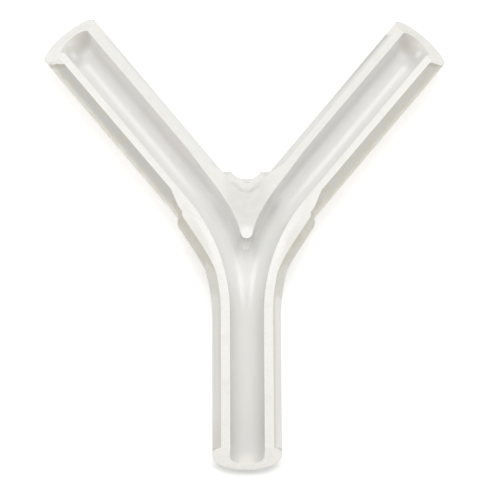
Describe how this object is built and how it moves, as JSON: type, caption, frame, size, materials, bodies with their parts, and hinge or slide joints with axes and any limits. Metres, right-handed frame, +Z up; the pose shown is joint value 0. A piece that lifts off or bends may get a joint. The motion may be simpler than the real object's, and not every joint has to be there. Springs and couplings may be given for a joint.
{
  "type": "tubing y-connector",
  "caption": "Soft silicone Y connector for flexible tubing, with a moulded hub on round legs, cut open lengthwise to show the bore that splits in the hub.",
  "frame": {"origin": "middle of the underside of the bounding box, on the surface that the connector lies on", "axes": "+Z up out of the lengthwise cut, -Y along the stem, +Y towards the two arms, mirrored left and right of X = 0"},
  "size_m": [0.1158, 0.1346, 0.015],
  "materials": {
    "silicone": "translucent satin"
  },
  "bodies": {
    "root": {"y_connector": "silicone"}
  },
  "joints": []
}
